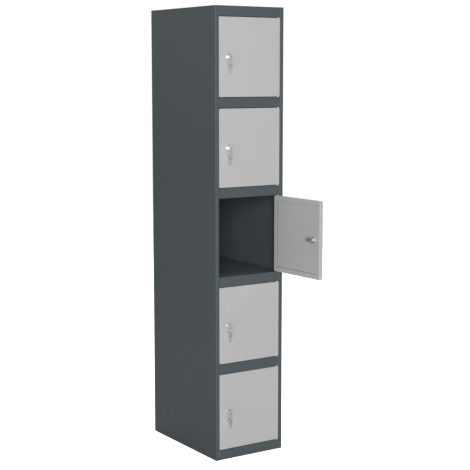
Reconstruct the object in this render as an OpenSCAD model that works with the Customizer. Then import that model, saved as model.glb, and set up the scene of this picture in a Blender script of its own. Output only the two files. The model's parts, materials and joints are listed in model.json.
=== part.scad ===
// Tall steel locker: one column of compartments, each with its own keyed door.
// Origin: middle of the footprint, on the floor. +X right, +Y to the back, +Z up.

/* [Cabinet] */
// Width over the two side panels
cabinet_w = 320; // [280:1:420]
// Depth from the front frame to the back panel
cabinet_d = 500; // [400:1:620]
// Height from the floor to the top
cabinet_h = 1800; // [1500:1:2160]
// Number of compartments, one above another
compartments = 5; // [2:1:5]
// Thickness of the folded cabinet sheet
sheet_t = 1; // [0.8:0.1:1.4]
// Inner radius of every bend in the sheet
bend_r = 1; // [0.5:0.1:1.5]
// Width of the upright on each side of the doors
stile_w = 15.5; // [14:0.5:30]
// Height of the rails above, below and between the doors
rail_h = 40; // [32:1:70]
// How far the uprights turn back into the cabinet
stile_return = 20; // [20:0.5:26]
// Width of the lip that the free edge of a door closes against
stop_lip = 10; // [8:0.5:14]
// Width of the lip that stiffens the upright on the hinge side
stiff_lip = 10; // [4:0.5:10]
// How far the rails turn back under themselves
rail_return = 17; // [14:0.5:18]
// Height of the hem that stiffens the back of a rail
rail_hem = 10; // [6:1:16]
// Depth of the flanges under the shelves and the top
flange_h = 20; // [12:1:30]
// Width of the flange that carries the back panel
rear_flange = 15; // [10:1:25]

/* [Doors] */
// Thickness of a door pan
door_t = 16; // [14:0.5:16]
// Thickness of the door sheet
door_skin = 1; // [0.8:0.1:1.2]
// Gap between a door and the frame, all round
door_gap = 2; // [1.5:0.1:3]
// Radius of the four corners of a door
door_corner_r = 4; // [3:0.5:8]
// Width of the flange folded in behind each door edge
door_flange = 20; // [16:0.5:30]
// How far the inner tray of a door lies below that flange
tray_recess = 2; // [1:0.5:4]
// Door that stands open, counted from the top
open_door = 3; // [1:1:5]
// How far that door stands open, in degrees
open_angle = 93; // [0:1:110]

/* [Pivots] */
// Diameter of the pivot pins
pin_d = 5; // [4:0.5:5]
// Pivot axis, in from the hinge edge of the door
pivot_inset = 6; // [5.5:0.1:7]
// Pivot axis, back from the face of the door
pivot_setback = 4.5; // [4:0.1:5]
// How far a pin reaches past the door edge
pin_reach = 7; // [6:0.5:10]
// Wall of the nylon bush round a pin
bush_wall = 0.9; // [0.6:0.1:1]
// Thickness of the flange of a bush
bush_flange_t = 1.2; // [0.8:0.1:1.2]
// Height of the bracket that holds a pin inside the door
bracket_h = 20; // [14:1:30]
// Diameter of the rubber buffers behind the free edge
buffer_d = 6; // [5:0.5:8]
// Buffers, in from the top and bottom edges of the door
buffer_inset = 45; // [20:1:80]

/* [Locks] */
// Lock axis, in from the free edge of the door
lock_inset = 37.5; // [30:0.5:60]
// Diameter of the lock face
lock_face_d = 20; // [18:0.5:26]
// Thickness of the lock face in front of the door
lock_face_t = 2; // [1:0.1:3]
// Diameter of the lock housing
lock_body_d = 18; // [16:0.5:20]
// Width over the two flats of the lock housing
lock_flats = 16; // [14:0.5:16]
// Diameter of the turning plug
plug_d = 12.9; // [11:0.1:13]
// Width over the flats of the housing nut
nut_width = 24; // [22:0.5:27]
// Thickness of the housing nut
nut_t = 4; // [3:0.5:6]
// Thickness of the cam
cam_t = 2.5; // [2:0.1:3]
// Width of the cam
cam_w = 14; // [12:0.5:18]
// How far the cam catches behind the stop lip
cam_catch = 6.5; // [4:0.5:8]
// Gap between the cam and the back of the stop lip
cam_gap = 1.5; // [1:0.1:3]

/* [Keys] */
// Radius of the round bow of a key
bow_r = 11; // [10:0.5:13]
// Thickness of a key bow
key_t = 2; // [1.6:0.1:2.4]
// Radius of the hole in the bow
key_hole_r = 3; // [2.5:0.1:3.5]
// Height of the key blade
blade_h = 7.6; // [6:0.2:8]
// Length of the blade inside the plug
blade_l = 16.5; // [14:0.5:16.5]
// Thickness of the blade
blade_t = 1.8; // [1.4:0.1:2]
// Radius of the key ring, to the middle of its wire
ring_r = 11.5; // [11:0.5:14]
// Diameter of the ring wire
ring_wire_d = 1.6; // [1.2:0.1:1.8]

/* [Wall fixings] */
// Diameter of the fixing holes in the back panel
wall_hole_d = 8; // [6:0.5:10]
// Distance between the fixing holes
wall_hole_spacing = 200; // [100:5:240]
// Fixing holes, down from the top
wall_hole_drop = 100; // [60:5:200]

/* [Clearances] */
// Radial clearance of a turning fit
turn_fit = 0.05; // [0.02:0.01:0.08]
// Clearance between pieces that only locate each other
slip_fit = 0.2; // [0.1:0.05:0.3]
// Clearance between pieces that rest on each other
rest_gap = 0.3; // [0.2:0.05:0.4]

/* [Hidden] */
$fn = 48;
// Overlap of shapes that form one sheet, and overshoot of shapes that cut
eps = 0.01;
over = 1;
hinge_pieces = ["outer_pan", "inner_tray", "pivot_brackets"];
lock_pieces = ["lock_housing", "lock_nut", "lock_plug", "lock_cam", "key", "key_ring"];

cabinet_grey = [0.32, 0.34, 0.36];
door_grey = [0.74, 0.74, 0.74];
half_t = sheet_t / 2;
front = -cabinet_d / 2;
back = cabinet_d / 2;
side = cabinet_w / 2;
bend_outer_r = bend_r + sheet_t;

// The openings: opening 1 is the top one
opening_w = cabinet_w - 2 * stile_w;
opening_h = (cabinet_h - (compartments + 1) * rail_h) / compartments;
function floor_z(n) = rail_h + (compartments - n) * (opening_h + rail_h);

// Front frame, from the face backwards
lip_back = front + stile_return;
lip_front = lip_back - sheet_t;
deck_front = lip_back + slip_fit;
deck_back = back - bend_outer_r - sheet_t;

// The doors
door_w = opening_w - 2 * door_gap;
door_h = opening_h - 2 * door_gap;
free_edge = -opening_w / 2 + door_gap;
hinge_edge = opening_w / 2 - door_gap;
door_back = front + door_t;
tray_back = door_back - tray_recess;
tray_gap = 0.3;
tray_corner_r = 3;
pivot_x = hinge_edge - pivot_inset;
pivot_y = front + pivot_setback;
pin_r = pin_d / 2;
bush_r = pin_r + turn_fit + bush_wall;
bush_flange_lip = 0.7;
bush_flange_r = min(bush_r + bush_flange_lip, pivot_setback - eps);
bush_tail = over;
bracket_t = 2;
bracket_margin = 3;
bracket_plate_h = 14;
function door_bottom(n) = floor_z(n) + door_gap;

// The locks, at mid-height of each door
lock_x = free_edge + lock_inset;
lock_front = front - lock_face_t;
cam_front = lip_back + cam_gap;
cam_back = cam_front + cam_t;
cam_reach = lock_inset + door_gap - stop_lip + cam_catch;
lock_r = lock_body_d / 2;
plug_r = plug_d / 2;
tail_w = 7;
cam_hub_r = 9;
screw_r = 2;
screw_head_r = 4.8;
screw_head_t = 2.2;
screw_l = 6.5;
screw_seat_gap = 0.05;
screw_cross_w = 5;
screw_cross_t = 1.1;
screw_cross_depth = 1.2;
end_room = 0.5;
keyway_depth = blade_l + end_room;
function lock_z(n) = floor_z(n) + opening_h / 2;

// The keys: local origin at the hole in the bow, tip towards +X of the outline
bow_offset = bow_r / 2;
neck_h = 10;
neck_l = 2;
shoulder = bow_offset + bow_r + neck_l;
key_hole_y = lock_front - shoulder;
wire_r = ring_wire_d / 2;
ring_drop = key_hole_r - wire_r - rest_gap;
ring_centre_drop = ring_drop + ring_r;
spare_hole_drop = ring_centre_drop + ring_r - wire_r - rest_gap + key_hole_r;
tooth_depths = [1.1, 1.9, 0.8, 1.6, 1.2];
tooth_margin = 2;
tooth_rise = 0.3;
tip_bevel = 3;

// Places a door piece, turned about its pivot axis where that door stands open
module hang(n) {
    angle = n == open_door ? open_angle : 0;
    translate([pivot_x, pivot_y, 0]) rotate([0, 0, angle]) translate([-pivot_x, -pivot_y, 0])
        children();
}

// Solid between two heights along Y from an outline drawn in X and Z
module along_y(from, to) {
    translate([0, to, 0]) rotate([90, 0, 0]) linear_extrude(to - from) children();
}

// Solid between two places along X from an outline drawn in Y and Z
module along_x(from, to) {
    translate([from, 0, 0]) rotate([90, 0, 90]) linear_extrude(to - from) children();
}

// Quarter ring of sheet where a fold turns from direction a to direction b
module bend(corner, a, b) {
    mid_r = bend_r + half_t;
    translate(corner - mid_r * a + mid_r * b) intersection() {
        difference() {
            circle(r = bend_outer_r);
            circle(r = bend_r);
        }
        polygon([[0, 0], bend_outer_r * a, bend_outer_r * (a - b), -bend_outer_r * b]);
    }
}

// Section of folded sheet along a centre line of straight runs at right angles
module folded(path) {
    last = len(path) - 1;
    function heading(i) = (path[i + 1] - path[i]) / norm(path[i + 1] - path[i]);
    trim = bend_r + half_t;
    for (i = [0 : last - 1]) {
        d = heading(i);
        a = path[i] + (i > 0 ? trim : 0) * d;
        b = path[i + 1] - (i < last - 1 ? trim : 0) * d;
        s = half_t * [-d.y, d.x];
        polygon([a + s, a - s, b - s, b + s]);
    }
    for (i = [1 : last - 1]) bend(path[i], heading(i - 1), heading(i));
}

// Rectangle with round corners, centred on the origin
module rounded_rect(w, h, r) {
    square([w - 2 * r, h], center = true);
    square([w, h - 2 * r], center = true);
    for (x = [-1, 1], z = [-1, 1]) translate([x * (w / 2 - r), z * (h / 2 - r)]) circle(r = r);
}

// ---------------------------------------------------------------- cabinet

// Wall, rear flange, upright and return of one side; the lip is the last run
module side_section(lip_end) {
    folded([
        [-side + rear_flange, back - sheet_t - half_t],
        [-side + half_t, back - sheet_t - half_t],
        [-side + half_t, front + half_t],
        [-side + stile_w - half_t, front + half_t],
        [-side + stile_w - half_t, lip_back - half_t],
        [lip_end, lip_back - half_t]
    ]);
}

module left_side_panel() {
    color(cabinet_grey) linear_extrude(cabinet_h - sheet_t) side_section(-side + stile_w + stop_lip);
}

module right_side_panel() {
    color(cabinet_grey) linear_extrude(cabinet_h - sheet_t) mirror([1, 0])
        side_section(-side + stile_w - half_t - stiff_lip);
}

module back_panel() {
    color(cabinet_grey) difference() {
        translate([-side, back - sheet_t, 0]) cube([cabinet_w, sheet_t, cabinet_h - sheet_t]);
        for (x = [-1, 1])
            translate([x * wall_hole_spacing / 2, back + over, cabinet_h - wall_hole_drop])
                rotate([90, 0, 0]) cylinder(d = wall_hole_d, h = sheet_t + 2 * over);
    }
}

// Rail with its hem and return, topped by the front strip of the deck
module rail(top, strip_back) {
    bottom = top - rail_h;
    hem_y = front + rail_return - half_t;
    along_x(-opening_w / 2, opening_w / 2) folded([
        [hem_y, bottom + rail_hem],
        [hem_y, bottom + half_t],
        [front + half_t, bottom + half_t],
        [front + half_t, top - half_t],
        [strip_back, top - half_t]
    ]);
}

// Flat floor of a compartment with flanges down its sides and its back
module deck(top, flange) {
    wall_x = side - sheet_t - half_t;
    along_y(deck_front, deck_back) folded([
        [-wall_x, top - flange],
        [-wall_x, top - half_t],
        [wall_x, top - half_t],
        [wall_x, top - flange]
    ]);
    flange_w = 2 * (wall_x - bend_outer_r);
    translate([-flange_w / 2, deck_back - sheet_t, top - flange]) cube([flange_w, sheet_t, flange - half_t]);
    // Below the bends the rear flange meets the side flanges at welded corners
    welded_w = cabinet_w - 2 * sheet_t;
    translate([-welded_w / 2, deck_back - sheet_t, top - flange])
        cube([welded_w, sheet_t, flange - bend_outer_r]);
    bridge_x = -opening_w / 2 + stop_lip + slip_fit;
    translate([bridge_x, lip_front - slip_fit - eps, top - sheet_t])
        cube([opening_w / 2 - bridge_x, sheet_t + 2 * (slip_fit + eps), sheet_t]);
}

// Hole for a pivot bush through sheet whose lower face is at z
module bush_hole(z) {
    translate([pivot_x, pivot_y, z - over]) cylinder(r = bush_r + slip_fit, h = sheet_t + 2 * over);
}

// Tray that is the rail and the floor of compartment n
module tray(n, flange) {
    top = floor_z(n);
    color(cabinet_grey) difference() {
        union() {
            rail(top, lip_front - slip_fit);
            deck(top, flange);
        }
        bush_hole(top - sheet_t);
        if (n < compartments) bush_hole(top - rail_h);
    }
}

module base_panel() {
    tray(compartments, rail_h);
}

module shelf(n) {
    tray(n, flange_h);
}

module top_panel() {
    tab_w = side - opening_w / 2;
    color(cabinet_grey) difference() {
        union() {
            rail(cabinet_h, front + bend_outer_r + over);
            translate([-side, front + bend_outer_r, cabinet_h - sheet_t])
                cube([cabinet_w, cabinet_d - bend_outer_r, sheet_t]);
            for (x = [-side, side - tab_w])
                translate([x, front, cabinet_h - sheet_t]) cube([tab_w, bend_outer_r + eps, sheet_t]);
            for (x = [-side + sheet_t, side - 2 * sheet_t])
                translate([x, deck_front, cabinet_h - flange_h])
                    cube([sheet_t, deck_back - deck_front, flange_h - half_t]);
        }
        bush_hole(cabinet_h - rail_h);
    }
}

// Flanged bush through a sheet face at z; up is 1 where its flange stands above the sheet
module bush(z, up) {
    neck = sheet_t + bush_tail;
    translate([pivot_x, pivot_y, z]) mirror([0, 0, up > 0 ? 0 : 1]) difference() {
        union() {
            cylinder(r = bush_flange_r, h = bush_flange_t);
            translate([0, 0, -neck]) cylinder(r = bush_r, h = neck + eps);
        }
        translate([0, 0, -neck - over])
            cylinder(r = pin_r + turn_fit, h = neck + bush_flange_t + 2 * over);
    }
}

module pivot_bushes() {
    color("ivory") for (n = [1 : compartments]) {
        bush(floor_z(n), 1);
        bush(floor_z(n) + opening_h, -1);
    }
}

module door_buffers() {
    buffer_t = lip_front - door_back - rest_gap;
    color([0.1, 0.1, 0.1]) for (n = [1 : compartments], z = [buffer_inset, door_h - buffer_inset])
        translate([-opening_w / 2 + stop_lip / 2, lip_front, door_bottom(n) + z])
            rotate([90, 0, 0]) cylinder(d = buffer_d, h = buffer_t);
}

// ---------------------------------------------------------------- doors

// Section of the lock housing, round with a flat on each side
module lock_section(extra) {
    intersection() {
        circle(r = lock_r + extra);
        square([lock_flats + 2 * extra, 2 * lock_body_d], center = true);
    }
}

// Outline centred on the door, drawn in X and Z
module on_door_face(n) {
    translate([(free_edge + hinge_edge) / 2, lock_z(n)]) children();
}

module outer_pan(n) {
    inner_r = door_corner_r - door_skin;
    color(door_grey) hang(n) difference() {
        along_y(front, door_back) on_door_face(n) rounded_rect(door_w, door_h, door_corner_r);
        along_y(front + door_skin, door_back - door_skin) on_door_face(n)
            rounded_rect(door_w - 2 * door_skin, door_h - 2 * door_skin, inner_r);
        along_y(door_back - door_skin - over, door_back + over) on_door_face(n)
            rounded_rect(door_w - 2 * door_flange, door_h - 2 * door_flange, inner_r / 2);
        along_y(front - over, front + door_skin + over)
            translate([lock_x, lock_z(n)]) lock_section(slip_fit);
        for (z = [door_bottom(n), door_bottom(n) + door_h - door_skin])
            translate([pivot_x, pivot_y, z - over])
                cylinder(r = pin_r + turn_fit, h = door_skin + 2 * over);
    }
}

module inner_tray(n) {
    inset = door_flange + tray_gap;
    w = door_w - 2 * inset;
    h = door_h - 2 * inset;
    color(door_grey) hang(n) difference() {
        along_y(front + door_skin, tray_back) on_door_face(n) rounded_rect(w, h, tray_corner_r);
        along_y(front, tray_back - door_skin) on_door_face(n)
            rounded_rect(w - 2 * door_skin, h - 2 * door_skin, tray_corner_r - door_skin);
        along_y(front, tray_back + over) translate([lock_x, lock_z(n)]) lock_section(slip_fit);
    }
}

// Bracket welded into the hinge edge of the door, with its pin pointing down
module pivot_bracket() {
    ear_front = front + door_skin;
    ear_back = door_back - door_skin;
    edge = hinge_edge - door_skin;
    ear_x = pivot_x - pin_r - bracket_margin;
    translate([ear_x, ear_front, bracket_h - bracket_t]) cube([edge - ear_x, ear_back - ear_front, bracket_t]);
    translate([edge - bracket_t, ear_front, bracket_h - bracket_t])
        cube([bracket_t, ear_back - ear_front, bracket_plate_h]);
    translate([pivot_x, pivot_y, -pin_reach]) cylinder(r = pin_r, h = pin_reach + bracket_h - bracket_t / 2);
}

module pivot_brackets(n) {
    color("silver") hang(n) {
        translate([0, 0, door_bottom(n)]) pivot_bracket();
        translate([0, 0, door_bottom(n) + door_h]) mirror([0, 0, 1]) pivot_bracket();
    }
}

// ---------------------------------------------------------------- locks

// Places a piece drawn about the lock axis, with Y still counted from the cabinet
module at_lock(n) {
    hang(n) translate([lock_x, 0, lock_z(n)]) children();
}

// Round bar on the lock axis between two places along Y
module lock_bar(from, to, r) {
    translate([0, to, 0]) rotate([90, 0, 0]) cylinder(r = r, h = to - from);
}

module lock_housing(n) {
    color("silver") at_lock(n) difference() {
        union() {
            lock_bar(lock_front, front, lock_face_d / 2);
            along_y(front - eps, cam_front - slip_fit) lock_section(0);
        }
        lock_bar(lock_front - over, cam_front + over, plug_r + turn_fit);
    }
}

module lock_nut(n) {
    color("silver") at_lock(n) difference() {
        along_y(tray_back, tray_back + nut_t) circle(d = nut_width / cos(30), $fn = 6);
        lock_bar(tray_back - over, tray_back + nut_t + over, lock_r + turn_fit);
    }
}

module lock_plug(n) {
    color("gainsboro") at_lock(n) difference() {
        union() {
            lock_bar(lock_front, cam_front, plug_r);
            along_y(cam_front - eps, cam_back) square(tail_w, center = true);
        }
        along_y(lock_front - over, lock_front + keyway_depth)
            square([blade_t + 2 * slip_fit, blade_h + 2 * slip_fit], center = true);
        lock_bar(cam_back - screw_l - end_room, cam_back + over, screw_r + turn_fit);
    }
}

// The cam points to the hinge edge while unlocked; its screw is a separate solid
module lock_cam(n) {
    head_front = cam_back + screw_seat_gap;
    color("silver") at_lock(n) {
        along_y(cam_front, cam_back) difference() {
            union() {
                circle(r = cam_hub_r);
                translate([0, -cam_w / 2]) square([cam_reach - cam_w / 2, cam_w]);
                translate([cam_reach - cam_w / 2, 0]) circle(d = cam_w);
            }
            square(tail_w + 2 * slip_fit, center = true);
        }
        difference() {
            union() {
                lock_bar(head_front, head_front + screw_head_t, screw_head_r);
                lock_bar(cam_back - screw_l, head_front + eps, screw_r);
            }
            for (a = [0, 90])
                translate([0, head_front + screw_head_t, 0]) rotate([0, a, 0])
                    cube([screw_cross_w, 2 * screw_cross_depth, screw_cross_t], center = true);
        }
    }
}

// ---------------------------------------------------------------- keys

module bow_outline() {
    difference() {
        union() {
            translate([bow_offset, 0]) circle(r = bow_r);
            translate([bow_offset, -neck_h / 2]) square([shoulder - bow_offset, neck_h]);
        }
        circle(r = key_hole_r);
    }
}

module blade_outline() {
    pitch = (blade_l - 2 * tooth_margin) / len(tooth_depths);
    half_h = blade_h / 2;
    difference() {
        translate([shoulder - over, -half_h]) square([blade_l + over, blade_h]);
        for (i = [0 : len(tooth_depths) - 1])
            translate([shoulder + tooth_margin + (i + 0.5) * pitch, half_h + tooth_rise]) rotate(45)
                square(tooth_depths[i] + tooth_rise, center = true);
        for (v = [-1, 1]) translate([shoulder + blade_l, v * half_h]) rotate(45)
            square(tip_bevel, center = true);
    }
}

// Whole key in the plane of Y and Z, its tip towards +Y
module key_shape() {
    rotate([90, 0, 90]) {
        linear_extrude(key_t, center = true) bow_outline();
        linear_extrude(blade_t, center = true) blade_outline();
    }
}

module key(n) {
    color("lightgray") at_lock(n) translate([0, key_hole_y, 0]) key_shape();
}

// Ring through the bow of the key in the lock, with the spare key hanging from it
module key_ring(n) {
    color("lightgray") at_lock(n) translate([0, key_hole_y, 0]) {
        translate([0, 0, -ring_centre_drop]) rotate([90, 0, 0])
            rotate_extrude() translate([ring_r, 0]) circle(r = wire_r);
        translate([0, 0, -spare_hole_drop]) rotate([-90, 0, 0]) key_shape();
    }
}

// ---------------------------------------------------------------- pieces

left_side_panel();
right_side_panel();
back_panel();
top_panel();
base_panel();
for (n = [1 : compartments - 1])
    shelf(n);
pivot_bushes();
door_buffers();
for (n = [1 : compartments]) {
    outer_pan(n);
    inner_tray(n);
    pivot_brackets(n);
    lock_housing(n);
    lock_nut(n);
    lock_plug(n);
    lock_cam(n);
    key(n);
    key_ring(n);
}
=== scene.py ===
import bmesh
import bpy
import json
import math
from mathutils import Matrix, Vector


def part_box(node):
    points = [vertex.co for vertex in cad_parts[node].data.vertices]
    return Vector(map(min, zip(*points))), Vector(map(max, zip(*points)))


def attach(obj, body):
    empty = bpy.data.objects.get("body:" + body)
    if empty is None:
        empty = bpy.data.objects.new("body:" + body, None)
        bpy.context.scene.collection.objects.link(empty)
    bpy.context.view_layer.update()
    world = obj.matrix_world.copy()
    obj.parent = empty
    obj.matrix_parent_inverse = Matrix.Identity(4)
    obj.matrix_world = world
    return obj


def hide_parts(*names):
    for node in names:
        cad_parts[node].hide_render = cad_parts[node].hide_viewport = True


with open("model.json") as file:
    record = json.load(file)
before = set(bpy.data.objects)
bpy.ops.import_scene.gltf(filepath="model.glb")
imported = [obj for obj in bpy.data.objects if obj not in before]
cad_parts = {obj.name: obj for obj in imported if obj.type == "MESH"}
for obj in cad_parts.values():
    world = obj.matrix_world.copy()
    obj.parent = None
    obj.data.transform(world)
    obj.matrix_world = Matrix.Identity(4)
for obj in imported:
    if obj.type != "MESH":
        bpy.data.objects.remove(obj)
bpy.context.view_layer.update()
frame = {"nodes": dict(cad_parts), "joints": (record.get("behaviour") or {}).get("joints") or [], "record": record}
joints = {joint["name"]: joint for joint in frame["joints"]}
bpy.ops.object.select_all(action="DESELECT")

# ------------------------------------------------------------------ sizes, in metres
# Cabinet: outer faces and sheet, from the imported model
left_lo, left_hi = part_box("left_side_panel")
right_lo, right_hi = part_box("right_side_panel")
back_lo, back_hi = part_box("back_panel")
shelf_lo, shelf_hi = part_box("shelf_1")
half_w = right_hi.x
front = left_lo.y
back = back_hi.y
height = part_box("top_panel")[1].z
sheet = back_hi.y - back_lo.y
half_t = sheet / 2
opening_x = right_lo.x
rail_h = shelf_hi.z - shelf_lo.z
deck_back = shelf_hi.y
# Folds of the cabinet sheets
fold_r = 0.0015
upright_return = 0.020
stiff_lip = 0.010
rear_flange = 0.015
rail_return = 0.017
rail_hem = 0.010
deck_flange = 0.020
slip = 0.0002
relief = 0.004
lip_back = front + upright_return
lip_front = lip_back - sheet
lip_end = left_hi.x
wall_x = half_w - 1.5 * sheet
cut_edge_r = 0.00018
fixing_hole_r = 0.004
# Doors, as door 1 hangs when it is shut
pan_lo, pan_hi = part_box("door_1_outer_pan")
tray_lo, tray_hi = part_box("door_1_inner_tray")
door_skin = 0.001
door_corner_r = 0.004
door_fold_r = 0.0016
door_flange = 0.020
flange_corner_r = 0.0015
tray_corner_r = 0.003
tray_fold_r = 0.0013
pivot = Vector(joints["door_1_hinge"]["pos_m"])
pin_r = 0.0025
turn_fit = 0.00005
door_gap = 0.002
# Brackets and pins, bushes and buffers
bracket_h = 0.020
bracket_t = 0.002
bracket_plate_h = 0.014
bracket_margin = 0.003
bracket_edge_r = 0.0004
pin_reach = 0.007
pin_tip = 0.0008
bush_wall = 0.0009
bush_lip = 0.0007
bush_flange_t = 0.0012
bush_tail = 0.001
bush_edge_r = 0.0002
buffer_r = 0.003
buffer_inset = 0.045
buffer_gap = 0.0003
buffer_dome_r = 0.0011
buffer_crown_w = 0.0009
buffer_dimple = 0.0002
bush_r = pin_r + turn_fit + bush_wall
bush_flange_r = bush_r + bush_lip
# Locks and keys, on the axis of lock 1
nut_lo, nut_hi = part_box("door_1_lock_nut")
housing_lo, housing_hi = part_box("door_1_lock_housing")
plug_lo, plug_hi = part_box("door_1_lock_plug")
cam_lo, cam_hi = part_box("door_1_lock_cam")
key_lo, key_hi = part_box("door_1_key")
lock = (nut_lo + nut_hi) / 2
face_r = (housing_hi.x - housing_lo.x) / 2
body_r = 0.009
flats = 0.016
plug_r = (plug_hi.x - plug_lo.x) / 2
tail_w = 0.007
hub_r = 0.009
cam_w = 0.014
cam_t = 0.0025
cam_gap = 0.0015
cam_front = lip_back + cam_gap
cam_edge_r = 0.0003
thread_pitch = 0.001
thread_root = 0.94
thread_run = 0.006
face_rim_r = 0.0009
face_border = 0.0008
face_step = 0.0003
face_dish = 0.00025
nut_chamfer = 0.0013
plug_rim_r = 0.00035
end_room = 0.0005
screw_r = 0.0048
screw_shank_r = 0.002
screw_t = 0.0022
screw_rim_r = 0.0016
cross_l = 0.0025
cross_w = 0.00055
cross_depth = 0.0012
key_t = key_hi.x - key_lo.x
bow_r = (key_hi.z - key_lo.z) / 2
bow_offset = bow_r / 2
key_hole_r = 0.003
hole_y = key_lo.y + bow_r - bow_offset
neck_h = 0.010
blade_l = key_hi.y - plug_lo.y
blade_h = 0.0076
blade_t = 0.0018
ring_r = 0.0115
ring_wire_r = 0.0008
ring_drop = 0.0134
spare_drop = 0.0268
tooth_depths = [0.0011, 0.0019, 0.0008, 0.0016, 0.0012]
tooth_margin = 0.002
tooth_rise = 0.0003
tip_cut = 0.003
neck_lap = 0.002
blade_lap = 0.0005
groove_depth = 0.0004
groove_half_w = 0.0008
groove_shift = 0.001
bow_border = 0.0016
bow_step = 0.0005
bow_dish = 0.0004
boss_w = 0.0016
key_edge_r = 0.00022
ring_rise = 0.0005
wire_squeeze = 0.95

DOORS = [n for n in range(1, 100) if f"door_{n}_hinge" in joints]
SHELVES = [n for n in DOORS if f"shelf_{n}" in frame["nodes"]]
TINY = 1e-5
# How far a cutter passes what it cuts
over = 0.001


# ------------------------------------------------------------------ hand tools
def only(ob):
    """Leaves one object selected and active."""
    bpy.ops.object.select_all(action="DESELECT")
    ob.select_set(True)
    bpy.context.view_layer.objects.active = ob


def settle(ob, name=None):
    """Puts an object's place, turn and scale into its mesh."""
    only(ob)
    bpy.ops.object.transform_apply(location=True, rotation=True, scale=True)
    if name:
        ob.name = name
        ob.data.name = name
    return ob


def block(name, lo, hi):
    """A box between two corners, to be shaped further."""
    lo, hi = Vector(lo), Vector(hi)
    bpy.ops.mesh.primitive_cube_add(size=1, location=(lo + hi) / 2, scale=hi - lo)
    return settle(bpy.context.object, name)


def sheet_plane(name, centre, wide, deep, turn=(0, 0, 0)):
    """A flat rectangle, to be folded."""
    bpy.ops.mesh.primitive_plane_add(size=1, location=centre, rotation=turn)
    bpy.context.object.scale = (wide, deep, 1)
    return settle(bpy.context.object, name)


def bar(name, centre, radius, length, axis="Y", sides=48, roll=0):
    """A round bar along an axis, to be shaped further."""
    turn = {"X": (0, math.pi / 2, 0), "Y": (math.pi / 2, roll, 0), "Z": (0, 0, roll)}[axis]
    bpy.ops.mesh.primitive_cylinder_add(
        vertices=sides, radius=radius, depth=length, location=centre, rotation=turn)
    return settle(bpy.context.object, name)


def lock_bar(name, y_from, y_to, radius, sides=48, roll=0):
    """A round bar on the axis of lock 1."""
    centre = Vector((lock.x, (y_from + y_to) / 2, lock.z))
    return bar(name, centre, radius, y_to - y_from, "Y", sides, roll)


def edit(ob):
    """Opens an object for shaping by hand."""
    only(ob)
    bpy.ops.object.mode_set(mode="EDIT")


def leave():
    """Ends the shaping by hand."""
    bpy.ops.object.mode_set(mode="OBJECT")


def pick(ob, kind, test):
    """In edit mode, selects the parts of one kind that pass a test of their middle and the part itself."""
    bpy.ops.mesh.select_mode(type=kind)
    bpy.ops.mesh.select_all(action="DESELECT")
    mesh = bmesh.from_edit_mesh(ob.data)
    parts = {"VERT": mesh.verts, "EDGE": mesh.edges, "FACE": mesh.faces}[kind]
    count = 0
    for part in parts:
        spots = [part.co] if kind == "VERT" else [v.co for v in part.verts]
        if test(sum(spots, Vector()) / len(spots), part):
            part.select_set(True)
            count += 1
    mesh.select_flush_mode()
    bmesh.update_edit_mesh(ob.data)
    return count


def pull(step):
    """Extrudes what is selected by a step."""
    bpy.ops.mesh.extrude_region_move(TRANSFORM_OT_translate={"value": tuple(step)})


def apply_modifier(ob, kind, **settings):
    """Puts one modifier on an object and applies it."""
    only(ob)
    modifier = ob.modifiers.new(kind.title(), kind)
    for key, value in settings.items():
        setattr(modifier, key, value)
    bpy.ops.object.modifier_apply(modifier=modifier.name)
    return ob


def combine(ob, tool, operation="DIFFERENCE"):
    """Cuts, joins or trims a piece with another, which is used up."""
    apply_modifier(ob, "BOOLEAN", operation=operation, solver="EXACT", object=tool)
    mesh = tool.data
    bpy.data.objects.remove(tool)
    bpy.data.meshes.remove(mesh)
    return ob


def join(obs, name):
    """Makes several loose pieces of one material into one piece."""
    only(obs[0])
    for ob in obs[1:]:
        ob.select_set(True)
    bpy.ops.object.join()
    return settle(bpy.context.object, name)


def ease_edges(ob, radius, segments=2, angle=50):
    """Takes the sharpness off every edge that turns more than an angle."""
    return apply_modifier(
        ob, "BEVEL", width=radius, segments=segments, limit_method="ANGLE", angle_limit=math.radians(angle),
        use_clamp_overlap=True)


def mend(ob, reach=0.000002):
    """Merges points that fall together and removes faces without area."""
    edit(ob)
    bpy.ops.mesh.select_all(action="SELECT")
    bpy.ops.mesh.remove_doubles(threshold=reach)
    bpy.ops.mesh.dissolve_degenerate(threshold=reach / 2)
    leave()
    return ob


def smooth(ob, angle=35):
    """Smooth shading that keeps the large faces flat up to their eased edges."""
    only(ob)
    bpy.ops.object.shade_smooth_by_angle(angle=math.radians(angle))
    return apply_modifier(ob, "WEIGHTED_NORMAL", keep_sharp=True)


def thicken(ob, thickness, offset=0):
    """Gives a folded surface the thickness of its sheet."""
    return apply_modifier(ob, "SOLIDIFY", thickness=thickness, offset=offset, use_even_offset=True)


def round_folds(ob, radius, segments=5, sharpness=60):
    """In edit mode, rounds each sharp fold."""
    bpy.ops.mesh.select_mode(type="EDGE")
    bpy.ops.mesh.select_all(action="DESELECT")
    bpy.ops.mesh.edges_select_sharp(sharpness=math.radians(sharpness))
    bpy.ops.mesh.bevel(offset=radius, segments=segments, affect="EDGES", clamp_overlap=False)


def round_rim(ob, y, radius, segments=4):
    """In edit mode, rounds the edges that lie at one place along Y."""
    pick(ob, "EDGE", lambda m, e: all(abs(v.co.y - y) < TINY for v in e.verts))
    bpy.ops.mesh.bevel(offset=radius, segments=segments, affect="EDGES", clamp_overlap=True)


def copy_piece(ob, name, shift=(0, 0, 0), angle=0):
    """A copy with its own mesh, moved, then turned about the pivot of the doors."""
    only(ob)
    bpy.ops.object.duplicate()
    twin = bpy.context.object
    twin.location += Vector(shift)
    if angle:
        about = Matrix.Translation(pivot) @ Matrix.Rotation(angle, 4, "Z") @ Matrix.Translation(-pivot)
        bpy.context.view_layer.update()
        twin.matrix_world = about @ twin.matrix_world
    return settle(twin, name)


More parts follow.
